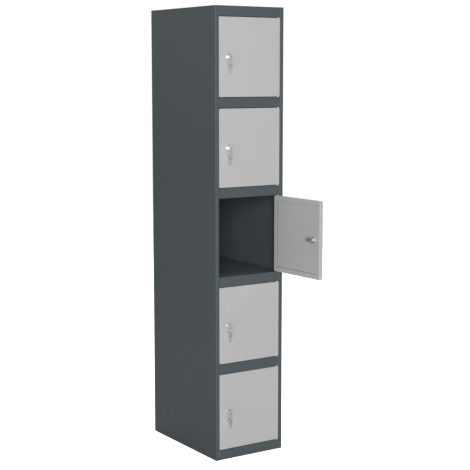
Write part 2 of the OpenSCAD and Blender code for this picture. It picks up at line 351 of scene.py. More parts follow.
# ------------------------------------------------------------------ cabinet sheets
def folded_strip(name, path, z_from, z_to):
    """Upright sheet that follows a path of folds seen from above."""
    first, second = Vector(path[0]), Vector(path[1])
    along = second - first
    middle = (first + second) / 2
    ob = sheet_plane(name, (middle.x, middle.y, (z_from + z_to) / 2), along.length, z_to - z_from,
                     (math.pi / 2, 0, math.atan2(along.y, along.x)))
    edit(ob)
    for here, there in zip(path[1:], path[2:]):
        spot = Vector((*here, (z_from + z_to) / 2))
        pick(ob, "EDGE", lambda m, e: (m - spot).length < TINY)
        pull((there[0] - here[0], there[1] - here[1], 0))
    round_folds(ob, fold_r)
    leave()
    thicken(ob, sheet)
    ease_edges(ob, cut_edge_r)
    return smooth(ob)


def side_path(last_x):
    """Middle line of the left side's sheet seen from above, from its rear flange to the lip's end."""
    return [
        (-half_w + rear_flange, back - sheet - half_t),
        (-half_w + half_t, back - sheet - half_t),
        (-half_w + half_t, front + half_t),
        (-opening_x - half_t, front + half_t),
        (-opening_x - half_t, lip_back - half_t),
        (last_x, lip_back - half_t),
    ]


def left_side():
    """Left side panel, with the upright and the lip that the doors close against."""
    return folded_strip("left_side", side_path(lip_end), 0, height - sheet)


def right_side():
    """Right side panel, with the upright on the side of the pivots."""
    path = [(-x, y) for x, y in side_path(-opening_x - half_t - stiff_lip)]
    return folded_strip("right_side", path, 0, height - sheet)


def back_sheet():
    """Back panel with its two wall fixing holes."""
    hole_record = [m for m in frame["record"]["mounts"] if m["name"] == "wall_fixings"][0]
    z = hole_record["pos_m"][2]
    spacing = hole_record["dims"]["spacing_x_mm"] / 1000
    ob = block("back_sheet", back_lo, back_hi)
    for x in (-spacing / 2, spacing / 2):
        combine(ob, bar("hole", (x, back - half_t, z), fixing_hole_r, 10 * sheet, sides=40))
    ease_edges(ob, cut_edge_r)
    return smooth(ob)


def bisect(axis, place):
    """In edit mode, cuts the whole sheet at one place along an axis."""
    bpy.ops.mesh.select_all(action="SELECT")
    spot = Vector((0, 0, 0))
    spot["XYZ".index(axis)] = place
    normal = Vector((axis == "X", axis == "Y", axis == "Z"))
    bpy.ops.mesh.bisect(plane_co=spot, plane_no=normal)


def bush_holes(ob, places):
    """Holes for the bushes, at several heights of one sheet."""
    for z in places:
        combine(ob, bar("hole", (pivot.x, pivot.y, z), bush_r + slip, 4 * sheet, "Z", 40))


def front_rail(ob, z):
    """In edit mode, folds the rail down from the front edge of a sheet, then back and up in a hem."""
    y = front + half_t
    pick(ob, "EDGE", lambda m, e: all(abs(v.co.y - y) < TINY for v in e.verts))
    pull((0, 0, sheet - rail_h))
    pull((0, rail_return - sheet, 0))
    pull((0, 0, rail_hem - half_t))


def shelf_tray(name, top, flange, lower_hole):
    """Floor of a compartment and the rail in front of it, folded from one sheet with notched corners."""
    z = top - half_t
    y_from, y_to = front + half_t, deck_back - half_t
    ob = sheet_plane(name, (0, (y_from + y_to) / 2, z), 2 * wall_x, y_to - y_from)
    deck_front = lip_back + slip
    strip_back = lip_front - slip
    edit(ob)
    for x in (-opening_x, lip_end + slip, opening_x, -wall_x + relief, wall_x - relief):
        bisect("X", x)
    for y in (strip_back, deck_front, deck_back - relief):
        bisect("Y", y)

    def waste(m, face):
        """The parts of the sheet that are notched away."""
        behind_upright = m.y < deck_front and abs(m.x) > opening_x
        beside_lip = strip_back < m.y < deck_front and m.x < lip_end
        corner = m.y > deck_back - relief and abs(m.x) > wall_x - relief
        return behind_upright or beside_lip or corner

    pick(ob, "FACE", waste)
    bpy.ops.mesh.delete(type="FACE")
    front_rail(ob, z)
    pick(ob, "EDGE", lambda m, e: abs(abs(m.x) - wall_x) < TINY and abs(m.z - z) < TINY)
    pull((0, 0, half_t - flange))
    pick(ob, "EDGE", lambda m, e: abs(m.y - deck_back + half_t) < TINY and abs(m.z - z) < TINY)
    pull((0, 0, half_t - flange))
    round_folds(ob, fold_r)
    leave()
    thicken(ob, sheet)
    ease_edges(ob, cut_edge_r)
    bush_holes(ob, [top - half_t] + ([top - rail_h + half_t] if lower_hole else []))
    return smooth(ob)


def top_sheet():
    """Top panel with its rail, the tabs over the uprights and a flange on either side."""
    z = height - half_t
    tab_y = front + fold_r + half_t
    y_from = front + half_t
    ob = sheet_plane("top_sheet", (0, (y_from + back) / 2, z), 2 * half_w, back - y_from)
    edit(ob)
    bisect("X", -opening_x)
    bisect("X", opening_x)
    bisect("Y", tab_y)
    pick(ob, "FACE", lambda m, f: m.y < tab_y and abs(m.x) > opening_x)
    bpy.ops.mesh.delete(type="FACE")
    front_rail(ob, z)
    round_folds(ob, fold_r)
    pick(ob, "EDGE", lambda m, e: abs(m.y - tab_y) < TINY and abs(m.x) > opening_x and abs(m.z - z) < TINY)
    pull((0, front - tab_y, 0))
    leave()
    thicken(ob, sheet)
    bush_holes(ob, [height - rail_h + half_t])
    ease_edges(ob, cut_edge_r, 1)
    flanges = []
    for x in (-half_w + sheet, half_w - 2 * sheet):
        foot = (x, lip_back + slip, height - deck_flange)
        head = (x + sheet, deck_back, height - sheet)
        flanges.append(block("flange", foot, head))
    return smooth(join([ob] + flanges, "top_sheet"))


# ------------------------------------------------------------------ pivots and buffers
def pivot_bush():
    """Flanged bush that stands on the floor of the opening of door 1."""
    z = pan_lo.z - door_gap
    ob = bar("bush", (pivot.x, pivot.y, z + bush_flange_t / 2), bush_flange_r, bush_flange_t, "Z", 40)
    neck = sheet + bush_tail
    combine(ob, bar("neck", (pivot.x, pivot.y, z - neck / 2 + TINY), bush_r, neck, "Z", 40), "UNION")
    combine(ob, bar("bore", (pivot.x, pivot.y, z), pin_r + turn_fit, 4 * neck, "Z", 40))
    ease_edges(ob, bush_edge_r)
    return smooth(ob)


def mirror_up(ob, z):
    """Turns a piece upside down about one height."""
    only(ob)
    bpy.ops.object.duplicate()
    twin = bpy.context.object
    twin.scale.z = -1
    twin.location.z = 2 * z
    settle(twin)
    edit(twin)
    bpy.ops.mesh.select_all(action="SELECT")
    bpy.ops.mesh.normals_make_consistent(inside=False)
    leave()
    return twin


def door_buffer():
    """Domed rubber buffer on the stop lip, near the foot of door 1."""
    x = (-opening_x + lip_end) / 2
    z = pan_lo.z + buffer_inset
    length = lip_front - pan_hi.y - buffer_gap
    ob = bar("buffer", (x, lip_front - length / 2, z), buffer_r, length, sides=32)
    edit(ob)
    round_rim(ob, lip_front - length, buffer_dome_r, 5)
    pick(ob, "FACE", lambda m, f: f.normal.y < -0.9)
    bpy.ops.mesh.inset(thickness=buffer_crown_w, depth=-buffer_dimple)
    leave()
    return smooth(ob, 50)


# ------------------------------------------------------------------ door
def rounded_box(name, lo, hi, corner_r, rim_r, folded_y):
    """A box with four corners round as seen from the front. Its rims at the given places are round too."""
    ob = block(name, lo, hi)
    edit(ob)
    pick(ob, "EDGE", lambda m, e: abs(e.verts[0].co.y - e.verts[1].co.y) > TINY)
    bpy.ops.mesh.bevel(offset=corner_r, segments=10, affect="EDGES", clamp_overlap=True)
    for y in folded_y:
        round_rim(ob, y, rim_r, 5)
    return ob


def lock_hole(ob, y, room):
    """Round hole with two flats, in which the lock housing can't turn."""
    cutter = lock_bar("hole", y - 3 * over, y + 3 * over, body_r + room, 48)
    half = Vector((flats / 2 + room, 4 * over, 2 * body_r))
    middle = Vector((lock.x, y, lock.z))
    trim = block("trim", middle - half, middle + half)
    combine(cutter, trim, "INTERSECT")
    return combine(ob, cutter)


def door_pan():
    """Shell of the door: face, four edges and the flange folded in behind them."""
    half_skin = door_skin / 2
    ob = rounded_box("door_pan", pan_lo, pan_hi, door_corner_r, door_fold_r, (pan_lo.y, pan_hi.y))
    leave()
    thicken(ob, door_skin, -1)
    inset = Vector((door_flange, 0, door_flange))
    step = Vector((0, 4 * over, 0))
    opening = rounded_box("opening", pan_lo + inset + step, pan_hi - inset + step, flange_corner_r, 0, ())
    leave()
    combine(ob, opening)
    ease_edges(ob, cut_edge_r, 2, 60)
    lock_hole(ob, pan_lo.y + half_skin, slip)
    for z in (pan_lo.z + half_skin, pan_hi.z - half_skin):
        combine(ob, bar("hole", (pivot.x, pivot.y, z), pin_r + turn_fit, 4 * door_skin, "Z", 40))
    return smooth(ob)


def door_tray():
    """Inner tray that stiffens the door from behind."""
    ob = rounded_box("door_tray", tray_lo, tray_hi, tray_corner_r, tray_fold_r, (tray_hi.y,))
    pick(ob, "FACE", lambda m, f: f.normal.y < -0.99)
    bpy.ops.mesh.delete(type="FACE")
    leave()
    thicken(ob, door_skin, -1)
    ease_edges(ob, cut_edge_r, 2, 60)
    lock_hole(ob, tray_hi.y - door_skin / 2, slip)
    return smooth(ob)


def pivot_bracket():
    """Angle bracket at the foot of the door, with the pin that it holds."""
    ear_front = pan_lo.y + door_skin
    ear_back = pan_hi.y - door_skin
    edge = pan_hi.x - door_skin
    z = pan_lo.z + bracket_h
    ear_x = pivot.x - pin_r - bracket_margin
    ob = block("bracket", (ear_x, ear_front, z - bracket_t), (edge - bracket_t, ear_back, z))
    edit(ob)
    pick(ob, "FACE", lambda m, f: f.normal.x > 0.9)
    pull((bracket_t, 0, 0))
    pick(ob, "FACE", lambda m, f: f.normal.z > 0.9 and m.x > edge - bracket_t)
    pull((0, 0, bracket_plate_h - bracket_t))
    leave()
    ease_edges(ob, bracket_edge_r)
    foot = pan_lo.z - pin_reach
    pin = bar("pin", (pivot.x, pivot.y, (foot + z) / 2), pin_r, z - foot, "Z", 32)
    edit(pin)
    pick(pin, "EDGE", lambda m, e: all(abs(v.co.z - foot) < TINY for v in e.verts))
    bpy.ops.mesh.bevel(offset=pin_tip, segments=3, affect="EDGES")
    leave()
    combine(ob, pin, "UNION")
    return smooth(ob)


# ------------------------------------------------------------------ lock
def lock_housing():
    """Threaded barrel with two flats, and the round face that sits on the door."""
    length = housing_hi.y - pan_lo.y
    rings = 2 * round(length / thread_pitch)
    ob = lock_bar("barrel", pan_lo.y - TINY, housing_hi.y, body_r)
    edit(ob)
    pick(ob, "EDGE", lambda m, e: abs(e.verts[0].co.y - e.verts[1].co.y) > TINY)
    bpy.ops.mesh.subdivide(number_cuts=rings - 1)
    step = length / rings
    axis = (lock.x, 0, lock.z)
    thread_from = tray_hi.y - thread_run
    pick(ob, "VERT", lambda m, v: round((m.y - pan_lo.y) / step) % 2 == 1 and m.y > thread_from)
    bpy.ops.transform.resize(value=(thread_root, 1, thread_root), center_override=axis)
    leave()
    trim = block("trim", (lock.x - flats / 2, front - 10 * over, lock.z - 2 * body_r),
                 (lock.x + flats / 2, back, lock.z + 2 * body_r))
    combine(ob, trim, "INTERSECT")
    face = lock_bar("face", housing_lo.y, pan_lo.y, face_r, 64)
    edit(face)
    round_rim(face, housing_lo.y, face_rim_r, 4)
    pick(face, "FACE", lambda m, f: f.normal.y < -0.99)
    bpy.ops.mesh.inset(thickness=face_border)
    bpy.ops.mesh.inset(thickness=face_step, depth=-face_dish)
    leave()
    combine(ob, face, "UNION")
    combine(ob, lock_bar("bore", front - 10 * over, back, plug_r + turn_fit))
    return smooth(ob, 30)


def lock_nut():
    """Hexagon nut with both faces chamfered at the corners."""
    across = (nut_hi.z - nut_lo.z) / 2
    corner_r = across / math.cos(math.radians(30))
    ob = lock_bar("nut", nut_lo.y, nut_hi.y, corner_r, 6, math.radians(30))
    turned = lock_bar("turned", nut_lo.y, nut_hi.y, corner_r, 64)
    edit(turned)
    for y in (nut_lo.y, nut_hi.y):
        round_rim(turned, y, nut_chamfer, 1)
    leave()
    combine(ob, turned, "INTERSECT")
    combine(ob, lock_bar("bore", front, back, body_r + turn_fit))
    return smooth(ob, 25)


def lock_plug():
    """Turning plug with its keyway, and the square tail that carries the cam."""
    tail = tail_w / 2
    ob = lock_bar("plug", plug_lo.y, cam_front, plug_r)
    edit(ob)
    round_rim(ob, plug_lo.y, plug_rim_r, 2)
    leave()
    root = (lock.x - tail, cam_front - over, lock.z - tail)
    square = block("tail", root, (lock.x + tail, plug_hi.y, lock.z + tail))
    combine(ob, square, "UNION")
    slot_x = blade_t / 2 + slip
    slot_z = blade_h / 2 + slip
    keyway = block("keyway", (lock.x - slot_x, plug_lo.y - over, lock.z - slot_z),
                   (lock.x + slot_x, plug_lo.y + blade_l + end_room, lock.z + slot_z))
    combine(ob, keyway)
    combine(ob, lock_bar("screw_hole", cam_lo.y - end_room, back, screw_shank_r + turn_fit, 32))
    return smooth(ob, 30)


def lock_cam():
    """Flat steel cam with a round hub and a round end."""
    reach = cam_hi.x - lock.x
    end_x = reach - cam_w / 2
    y = cam_front
    ob = lock_bar("cam", y, y + cam_t, hub_r, 48)
    arm = block("arm", (lock.x, y, lock.z - cam_w / 2), (lock.x + end_x, y + cam_t, lock.z + cam_w / 2))
    end = bar("end", (lock.x + end_x, y + cam_t / 2, lock.z), cam_w / 2, cam_t, "Y", 48)
    mend(combine(ob, arm, "UNION"))
    mend(combine(ob, end, "UNION"))
    hole = Vector((tail_w / 2 + slip, 10 * over, tail_w / 2 + slip))
    middle = Vector((lock.x, y, lock.z))
    combine(ob, block("hole", middle - hole, middle + hole))
    ease_edges(ob, cam_edge_r, 2, 40)
    return smooth(ob)


def cam_screw():
    """Pan-head screw with a cross recess, which holds the cam on the plug."""
    head = cam_hi.y - screw_t
    ob = lock_bar("screw", head, cam_hi.y, screw_r, 48)
    combine(ob, lock_bar("shank", cam_lo.y, head + screw_t / 4, screw_shank_r, 32), "UNION")
    edit(ob)
    round_rim(ob, cam_hi.y, screw_rim_r, 6)
    leave()
    for wide, high in ((cross_l, cross_w), (cross_w, cross_l)):
        combine(ob, block("cross", (lock.x - wide, cam_hi.y - cross_depth, lock.z - high),
                          (lock.x + wide, cam_hi.y + over, lock.z + high)))
    return smooth(ob, 30)


# ------------------------------------------------------------------ keys
def lock_key():
    """Flat key in lock 1: dished round bow with a hole, neck and cut blade."""
    x, z = lock.x, lock.z
    bow_y = hole_y + bow_offset
    shoulder = plug_lo.y
    ob = bar("key", (x, bow_y, z), bow_r, key_t, "X", 64)
    edit(ob)
    pick(ob, "FACE", lambda m, f: abs(f.normal.x) > 0.99)
    bpy.ops.mesh.inset(thickness=bow_border)
    bpy.ops.mesh.inset(thickness=bow_step, depth=-bow_dish)
    leave()
    neck = block("neck", (x - key_t / 2, bow_y + bow_r - neck_lap, z - neck_h / 2),
                 (x + key_t / 2, shoulder, z + neck_h / 2))
    mend(combine(ob, neck, "UNION"))
    blade = block("blade", (x - blade_t / 2, shoulder - blade_lap, z - blade_h / 2),
                  (x + blade_t / 2, shoulder + blade_l, z + blade_h / 2))
    for side in (-1, 1):
        cheek = x + side * blade_t / 2
        level = z + side * groove_shift
        groove = block("groove", (cheek - groove_depth, shoulder - 10 * over, level - groove_half_w),
                       (cheek + groove_depth, shoulder + 30 * over, level + groove_half_w))
        combine(blade, groove)
    mend(combine(ob, blade, "UNION"))
    boss = bar("boss", (x, hole_y, z), key_hole_r + boss_w, key_t, "X", 48)
    mend(combine(ob, boss, "UNION"))
    combine(ob, bar("hole", (x, hole_y, z), key_hole_r, 3 * key_t, "X", 48))
    pitch = (blade_l - 2 * tooth_margin) / len(tooth_depths)
    for i, depth in enumerate(tooth_depths):
        notch_y = shoulder + tooth_margin + (i + 0.5) * pitch
        notch(ob, notch_y, z + blade_h / 2 + tooth_rise, depth + tooth_rise)
    for side in (-1, 1):
        notch(ob, shoulder + blade_l, z + side * blade_h / 2, tip_cut)
    mend(ob)
    ease_edges(ob, key_edge_r, 2, 40)
    return smooth(ob, 30)


def notch(ob, y, z, size):
    """Cuts a square notch, set on its corner, through the blade."""
    bpy.ops.mesh.primitive_cube_add(
        size=1, location=(lock.x, y, z), rotation=(math.pi / 4, 0, 0), scale=(10 * over, size, size))
    combine(ob, settle(bpy.context.object, "notch"))


def spare_key(key):
    """The second key, hanging from the ring with its tip down."""
    only(key)
    bpy.ops.object.duplicate()
    twin = bpy.context.object
    hole = Vector((lock.x, hole_y, lock.z))
    hang = Matrix.Translation(hole - Vector((0, 0, spare_drop)))
    twin.matrix_world = hang @ Matrix.Rotation(-math.pi / 2, 4, "X") @ Matrix.Translation(-hole)
    return settle(twin, "spare_key")


def key_ring():
    """Split ring of flat wire in two turns."""
    bpy.ops.mesh.primitive_circle_add(
        vertices=10, radius=1, fill_type="NOTHING", location=(ring_r, -ring_rise, 0))
    bpy.context.object.scale = (ring_wire_r * wire_squeeze, ring_rise / 2, 1)
    ob = settle(bpy.context.object, "key_ring")
    apply_modifier(ob, "SCREW", axis="Y", angle=math.radians(358), screw_offset=ring_rise, iterations=2,
                   steps=56, render_steps=56, use_merge_vertices=False)
    ob.location = (lock.x, hole_y, lock.z - ring_drop)
    settle(ob)
    edit(ob)
    bpy.ops.mesh.select_all(action="SELECT")
    bpy.ops.mesh.fill_holes(sides=0)
    bpy.ops.mesh.select_all(action="SELECT")
    bpy.ops.mesh.normals_make_consistent(inside=False)
    leave()
    return smooth(ob, 40)


# ------------------------------------------------------------------ finishes
def add(tree, kind, inputs=None, **settings):
    """A shader node with its settings, and its inputs linked or set."""
    made = tree.nodes.new("ShaderNode" + kind)
    for key, value in settings.items():
        setattr(made, key, value)
    for key, value in (inputs or {}).items():
        if isinstance(value, bpy.types.NodeSocket):
            tree.links.new(value, made.inputs[key])
        else:
            made.inputs[key].default_value = value
    return made


def maths(tree, operation, first, second=0.0, clamp=False):
    """The result of a Math node on two values."""
    return add(tree, "Math", {0: first, 1: second}, operation=operation, use_clamp=clamp).outputs[0]


def noise(tree, where, scale, detail=2.0, roughness=0.5):
    """The value of a Noise Texture node."""
    inputs = {"Vector": where, "Scale": scale, "Detail": detail, "Roughness": roughness}
    return add(tree, "TexNoise", inputs).outputs["Fac"]


def ramp(tree, value, low, high):
    """0 below low, 1 above high."""
    inputs = {"Value": value, "From Min": low, "From Max": high}
    return add(tree, "MapRange", inputs, clamp=True).outputs["Result"]


def blend_colour(tree, mask, first, second):
    """The first colour where the mask is 0, the second where it is 1."""
    return add(tree, "Mix", {0: mask, 6: first, 7: second}, data_type="RGBA", blend_type="MIX").outputs[2]


def scale_colour(tree, colour, factor):
    """A colour made lighter or darker."""
    grey = add(tree, "CombineColor", {0: factor, 1: factor, 2: factor}).outputs[0]
    return add(tree, "Mix", {0: 1.0, 6: colour, 7: grey}, data_type="RGBA", blend_type="MULTIPLY").outputs[2]


def new_group(name, inputs, outputs):
    """An empty shader group with named inputs and outputs."""
    tree = bpy.data.node_groups.new(name, "ShaderNodeTree")
    for label, value in inputs.items():
        kind = {float: "Float", tuple: "Color", Vector: "Vector"}[type(value)]
        socket = tree.interface.new_socket(label, in_out="INPUT", socket_type="NodeSocket" + kind)
        socket.default_value = value
    for label, kind in outputs.items():
        tree.interface.new_socket(label, in_out="OUTPUT", socket_type="NodeSocket" + kind)
    ins = tree.nodes.new("NodeGroupInput").outputs
    outs = tree.nodes.new("NodeGroupOutput").inputs
    return tree, ins, outs


def object_place(tree):
    """The place of a point on the object."""
    return add(tree, "TexCoord").outputs["Object"]


def powder_coat_group():
    """Baked powder paint: orange peel in two sizes, and slight changes of shade and gloss."""
    tree, ins, outs = new_group(
        "Powder coat",
        {"Colour": (0.5, 0.5, 0.5, 1.0), "Peel size": 0.0018, "Shade change": 0.08, "Roughness": 0.45},
        {"Colour": "Color", "Roughness": "Float", "Height": "Float"})
    where = object_place(tree)
    peel = noise(tree, where, maths(tree, "DIVIDE", 1.0, ins["Peel size"]), 1.5)
    grain = noise(tree, where, maths(tree, "DIVIDE", 6.0, ins["Peel size"]), 2.0)
    cloud = noise(tree, where, 2.3, 3.0)
    patch = noise(tree, where, 17.0, 4.0, 0.6)
    mixed = maths(tree, "ADD", maths(tree, "MULTIPLY", cloud, 0.5), maths(tree, "MULTIPLY", patch, 0.3))
    mixed = maths(tree, "ADD", mixed, maths(tree, "MULTIPLY", grain, 0.2))
    shade = maths(tree, "MULTIPLY", maths(tree, "SUBTRACT", mixed, 0.5), ins["Shade change"])
    tree.links.new(scale_colour(tree, ins["Colour"], maths(tree, "ADD", shade, 1.0)), outs["Colour"])
    gloss = maths(tree, "MULTIPLY", maths(tree, "SUBTRACT", patch, 0.5), 0.22)
    gloss = maths(tree, "ADD", gloss, maths(tree, "MULTIPLY", maths(tree, "SUBTRACT", peel, 0.5), 0.10))
    tree.links.new(maths(tree, "ADD", ins["Roughness"], gloss, True), outs["Roughness"])
    height = maths(tree, "ADD", maths(tree, "MULTIPLY", peel, 0.8), maths(tree, "MULTIPLY", grain, 0.2))
    tree.links.new(height, outs["Height"])
    return tree


def edge_wear_and_highlight_group():
    """Mask of the edges that rub, and of the painted highlight that stands in for light caught on them: strong on
    outer corners, broken up along their length.
    """
    tree, ins, outs = new_group(
        "Edge wear and painted highlight", {"Width": 0.0012, "Patch size": 0.03, "Strength": 1.0}, {"Mask": "Float"})
    # Turned edges, found with the Bevel normal, carry both rubbed wear and a painted highlight.
    rounded = add(tree, "Bevel", {"Radius": ins["Width"]}, samples=6).outputs["Normal"]
    normal = add(tree, "NewGeometry").outputs["Normal"]
    facing = add(tree, "VectorMath", {0: rounded, 1: normal}, operation="DOT_PRODUCT").outputs["Value"]
    turned = ramp(tree, maths(tree, "SUBTRACT", 1.0, facing), 0.01, 0.12)
    where = object_place(tree)
    patch = noise(tree, where, maths(tree, "DIVIDE", 1.0, ins["Patch size"]), 5.0, 0.65)
    broken = ramp(tree, patch, 0.35, 0.62)
    kept = maths(tree, "ADD", maths(tree, "MULTIPLY", broken, 0.7), 0.3)
    mask = maths(tree, "MULTIPLY", maths(tree, "MULTIPLY", turned, kept), ins["Strength"], True)
    tree.links.new(mask, outs["Mask"])
    return tree


def dust_group():
    """Mask of fine dust that has settled on faces that look up."""
    tree, ins, outs = new_group("Settled dust", {"Patch size": 0.05, "Amount": 0.3}, {"Mask": "Float"})
    up = add(tree, "SeparateXYZ", {0: add(tree, "NewGeometry").outputs["Normal"]}).outputs[2]
    where = object_place(tree)
    drift = noise(tree, where, maths(tree, "DIVIDE", 1.0, ins["Patch size"]), 4.0, 0.6)
    specks = ramp(tree, noise(tree, where, 900.0, 2.0), 0.62, 0.75)
    spread = maths(tree, "ADD", ramp(tree, drift, 0.3, 0.75), maths(tree, "MULTIPLY", specks, 0.6))
    settled = maths(tree, "MULTIPLY", ramp(tree, up, 0.6, 1.0), spread)
    mask = maths(tree, "MULTIPLY", settled, ins["Amount"], True)
    tree.links.new(mask, outs["Mask"])
    return tree


def handling_group():
    """Mask of the smudges that hands leave round a lock. Place is counted from the lock."""
    tree, ins, outs = new_group(
        "Handling marks", {"Place": Vector((0, 0, 0)), "Reach": 0.07}, {"Mask": "Float"})
    away = add(tree, "VectorMath", {0: ins["Place"]}, operation="LENGTH").outputs["Value"]
    near = maths(tree, "SUBTRACT", 1.0, maths(tree, "DIVIDE", away, ins["Reach"]), True)
    smear = ramp(tree, noise(tree, ins["Place"], 60.0, 4.0, 0.65), 0.42, 0.66)
    tree.links.new(maths(tree, "MULTIPLY", near, smear, True), outs["Mask"])
    return tree


def plated_metal_group():
    """Plated or brushed metal: fine scratches along one way, dull patches and a little tarnish."""
    tree, ins, outs = new_group(
        "Plated metal",
        {"Colour": (0.7, 0.7, 0.7, 1.0), "Tarnish": (0.4, 0.38, 0.34, 1.0), "Scratch size": 0.0004,
         "Roughness": 0.2, "Wear": 0.3},
        {"Colour": "Color", "Roughness": "Float", "Height": "Float"})
    where = object_place(tree)
    drawn_out = add(tree, "Mapping", {"Vector": where, "Scale": (1.0, 1.0, 0.06)}).outputs[0]
    scratch = noise(tree, drawn_out, maths(tree, "DIVIDE", 1.0, ins["Scratch size"]), 3.0, 0.6)
    dull = noise(tree, where, 220.0, 4.0, 0.6)
    stain = maths(tree, "MULTIPLY", ramp(tree, dull, 0.5, 0.72), ins["Wear"])
    tree.links.new(blend_colour(tree, stain, ins["Colour"], ins["Tarnish"]), outs["Colour"])
    rough = maths(tree, "ADD", ins["Roughness"], maths(tree, "MULTIPLY", stain, 0.5))
    scored = maths(tree, "MULTIPLY", maths(tree, "SUBTRACT", scratch, 0.5), 0.25)
    rough = maths(tree, "ADD", rough, scored, True)
    tree.links.new(rough, outs["Roughness"])
    tree.links.new(scratch, outs["Height"])
    return tree


def moulded_group():
    """Moulded nylon or rubber: a fine matt grain and faint flow marks."""
    tree, ins, outs = new_group(
        "Moulded", {"Colour": (0.5, 0.5, 0.5, 1.0), "Grain size": 0.0003, "Roughness": 0.6},
        {"Colour": "Color", "Roughness": "Float", "Height": "Float"})
    where = object_place(tree)
    grain = noise(tree, where, maths(tree, "DIVIDE", 1.0, ins["Grain size"]), 2.0)
    flow = noise(tree, where, 350.0, 3.0)
    shade = maths(tree, "ADD", 0.94, maths(tree, "MULTIPLY", flow, 0.12))
    tree.links.new(scale_colour(tree, ins["Colour"], shade), outs["Colour"])
    rough = maths(tree, "ADD", ins["Roughness"], maths(tree, "MULTIPLY", flow, 0.12), True)
    tree.links.new(rough, outs["Roughness"])
    tree.links.new(grain, outs["Height"])
    return tree


powder_coat = powder_coat_group()
edge_wear_and_highlight = edge_wear_and_highlight_group()
settled_dust = dust_group()
handling_marks = handling_group()
plated_metal = plated_metal_group()
moulded = moulded_group()


def new_finish(name):
    """A material with only a Principled shader, and its node tree."""
    material = bpy.data.materials.new(name)
    material.use_nodes = True
    tree = material.node_tree
    shader = [n for n in tree.nodes if n.type == "BSDF_PRINCIPLED"][0]
    return material, tree, shader


def use(tree, group, **inputs):
    """Puts a shader group in a tree, with its inputs linked or set."""
    made = tree.nodes.new("ShaderNodeGroup")
    made.node_tree = group
    for key, value in inputs.items():
        label = key.replace("_", " ")
        if isinstance(value, bpy.types.NodeSocket):
            tree.links.new(value, made.inputs[label])
        else:
            made.inputs[label].default_value = value
    return made.outputs


def raised(tree, height, depth, strength=1.0):
    """The normal of a surface with small bumps."""
    return add(tree, "Bump", {"Height": height, "Distance": depth, "Strength": strength}).outputs["Normal"]


def rgba(colour):
    """The colour with full alpha."""
    return (*colour, 1.0)


def paint(name, colour, edge_wear_and_highlight_colour, peel_size, roughness, dust, lock_place=None):
    """Powder paint with lighter edges, partly rubbed wear and partly a painted highlight, settled dust and, where
    a lock place is given, marks of hands.
    """
    material, tree, shader = new_finish(name)
    coat = use(tree, powder_coat, Colour=rgba(colour), Peel_size=peel_size, Shade_change=0.16,
               Roughness=roughness)
    # Edges lightened by the edge mask: partly rubbed wear, partly a painted highlight where light catches them.
    worn_and_lit_edges = use(tree, edge_wear_and_highlight, Width=0.0016, Patch_size=0.035, Strength=0.75)["Mask"]
    dusty = use(tree, settled_dust, Patch_size=0.06, Amount=dust)["Mask"]
    shown = blend_colour(tree, worn_and_lit_edges, coat["Colour"], rgba(edge_wear_and_highlight_colour))
    shown = blend_colour(tree, dusty, shown, (0.42, 0.40, 0.37, 1.0))
    rough = maths(tree, "ADD", coat["Roughness"], maths(tree, "MULTIPLY", dusty, 0.4), True)
    if lock_place is not None:
        spot = object_place(tree)
        turn, move = lock_place
        spot = add(tree, "Mapping", {"Vector": spot, "Location": move, "Rotation": (0, 0, turn)}).outputs[0]
        handled = use(tree, handling_marks, Place=spot, Reach=0.075)["Mask"]
        shown = blend_colour(tree, maths(tree, "MULTIPLY", handled, 0.10), shown, (0.16, 0.15, 0.14, 1.0))
        rough = maths(tree, "SUBTRACT", rough, maths(tree, "MULTIPLY", handled, 0.14), True)
    tree.links.new(shown, shader.inputs["Base Color"])
    tree.links.new(rough, shader.inputs["Roughness"])
    tree.links.new(raised(tree, coat["Height"], 0.00004), shader.inputs["Normal"])
    shader.inputs["Specular IOR Level"].default_value = 0.35
    return material


def metal(name, colour, tarnish, scratch_size, roughness, wear, depth):
    """Plated or bare metal with brighter edges, partly worn and partly a painted highlight."""
    material, tree, shader = new_finish(name)
    plate = use(tree, plated_metal, Colour=rgba(colour), Tarnish=rgba(tarnish), Scratch_size=scratch_size,
                Roughness=roughness, Wear=wear)
    # Brighter edges: partly rubbed metal, partly a painted highlight.
    rubbed_and_lit_edges = use(tree, edge_wear_and_highlight, Width=0.0005, Patch_size=0.004, Strength=0.5)["Mask"]
    rubbed_and_highlight_colour = tuple(min(1.0, c * 1.25) for c in colour)
    tree.links.new(blend_colour(tree, rubbed_and_lit_edges, plate["Colour"], rgba(rubbed_and_highlight_colour)), shader.inputs["Base Color"])
    tree.links.new(plate["Roughness"], shader.inputs["Roughness"])
    tree.links.new(raised(tree, plate["Height"], depth), shader.inputs["Normal"])
    shader.inputs["Metallic"].default_value = 1.0
    return material


def plastic(name, colour, grain_size, roughness, depth, specular):
    """Nylon or rubber with a fine grain."""
    material, tree, shader = new_finish(name)
    grain = use(tree, moulded, Colour=rgba(colour), Grain_size=grain_size, Roughness=roughness)
    tree.links.new(grain["Colour"], shader.inputs["Base Color"])
    tree.links.new(grain["Roughness"], shader.inputs["Roughness"])
    tree.links.new(raised(tree, grain["Height"], depth), shader.inputs["Normal"])
    shader.inputs["Specular IOR Level"].default_value = specular
    return material


def door_angle(n):
    """How far door n stands open at rest."""
    return math.radians(-joints[f"door_{n}_hinge"]["range_deg"][0])


def door_shift(n):
    """How far door n hangs above or below door 1."""
    return Vector((0, 0, joints[f"door_{n}_hinge"]["pos_m"][2] - pivot.z))


def lock_mapping(n):
    """Turn and move that count places from lock n, on the door as it stands."""
    turn = -door_angle(n)
    move = pivot - (lock + door_shift(n)) - Matrix.Rotation(turn, 3, "Z") @ pivot
    return turn, move


